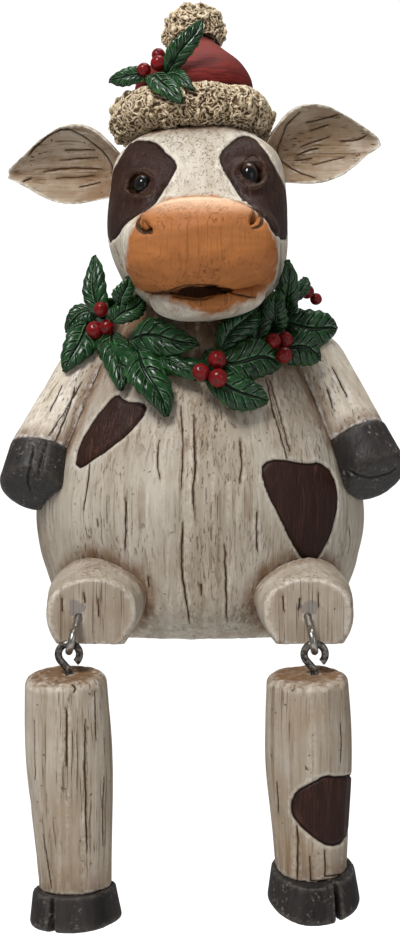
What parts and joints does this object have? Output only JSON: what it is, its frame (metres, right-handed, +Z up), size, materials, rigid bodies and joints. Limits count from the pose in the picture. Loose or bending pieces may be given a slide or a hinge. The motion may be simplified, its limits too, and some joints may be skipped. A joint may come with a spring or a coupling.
{
  "type": "cow figurine",
  "caption": "Seated cow ornament with a hat, a leaf garland and lower legs that dangle from linked wire eyes.",
  "frame": {"origin": "middle of the flat seat under the body, which rests on a shelf", "axes": "+Z up, the cow faces -Y, +X is the cow's own left"},
  "size_m": [0.1247, 0.1139, 0.2793],
  "materials": {
    "whitewash": "painted resin, whitewashed wood look with brown wash",
    "hoof": "painted resin, dark grey horn",
    "hat_red": "painted resin, dusty red cloth look",
    "fur": "painted resin, curly cream fur",
    "leaf": "painted resin, satin green leaves",
    "berry": "painted resin, glossy red",
    "eye": "painted resin, glossy black",
    "wire": "plated wire"
  },
  "bodies": {
    "body": {"hat_berries": "berry", "hat_bobble": "fur", "hat_brim": "fur", "hat_crown": "hat_red", "hat_leaves": "leaf", "head": "whitewash", "left_arm": "whitewash", "left_ear": "whitewash", "left_eyeball": "eye", "left_fore_hoof": "hoof", "left_thigh": "whitewash", "left_thigh_eye": "wire", "right_arm": "whitewash", "right_ear": "whitewash", "right_eyeball": "eye", "right_fore_hoof": "hoof", "right_thigh": "whitewash", "right_thigh_eye": "wire", "torso": "whitewash", "wreath_back_leaves": "leaf", "wreath_front_berries": "berry", "wreath_left_berries": "berry", "wreath_left_leaves": "leaf", "wreath_right_berries": "berry", "wreath_right_leaves": "leaf", "wreath_side_berries": "berry", "wreath_vine": "leaf"},
    "left_leg": {"left_leg": "whitewash", "left_hoof": "hoof", "left_leg_eye": "wire"},
    "right_leg": {"right_leg": "whitewash", "right_hoof": "hoof", "right_leg_eye": "wire"}
  },
  "joints": [
    {"name": "left_leg_swing", "type": "hinge", "parent": "body", "child": "left_leg", "pos_m": [0.0336, -0.056, 0.0005], "axis": [-1, 0, 0], "range_deg": [-20, 85]},
    {"name": "right_leg_swing", "type": "hinge", "parent": "body", "child": "right_leg", "pos_m": [-0.0384, -0.056, 0.0005], "axis": [-1, 0, 0], "range_deg": [-20, 85]}
  ]
}
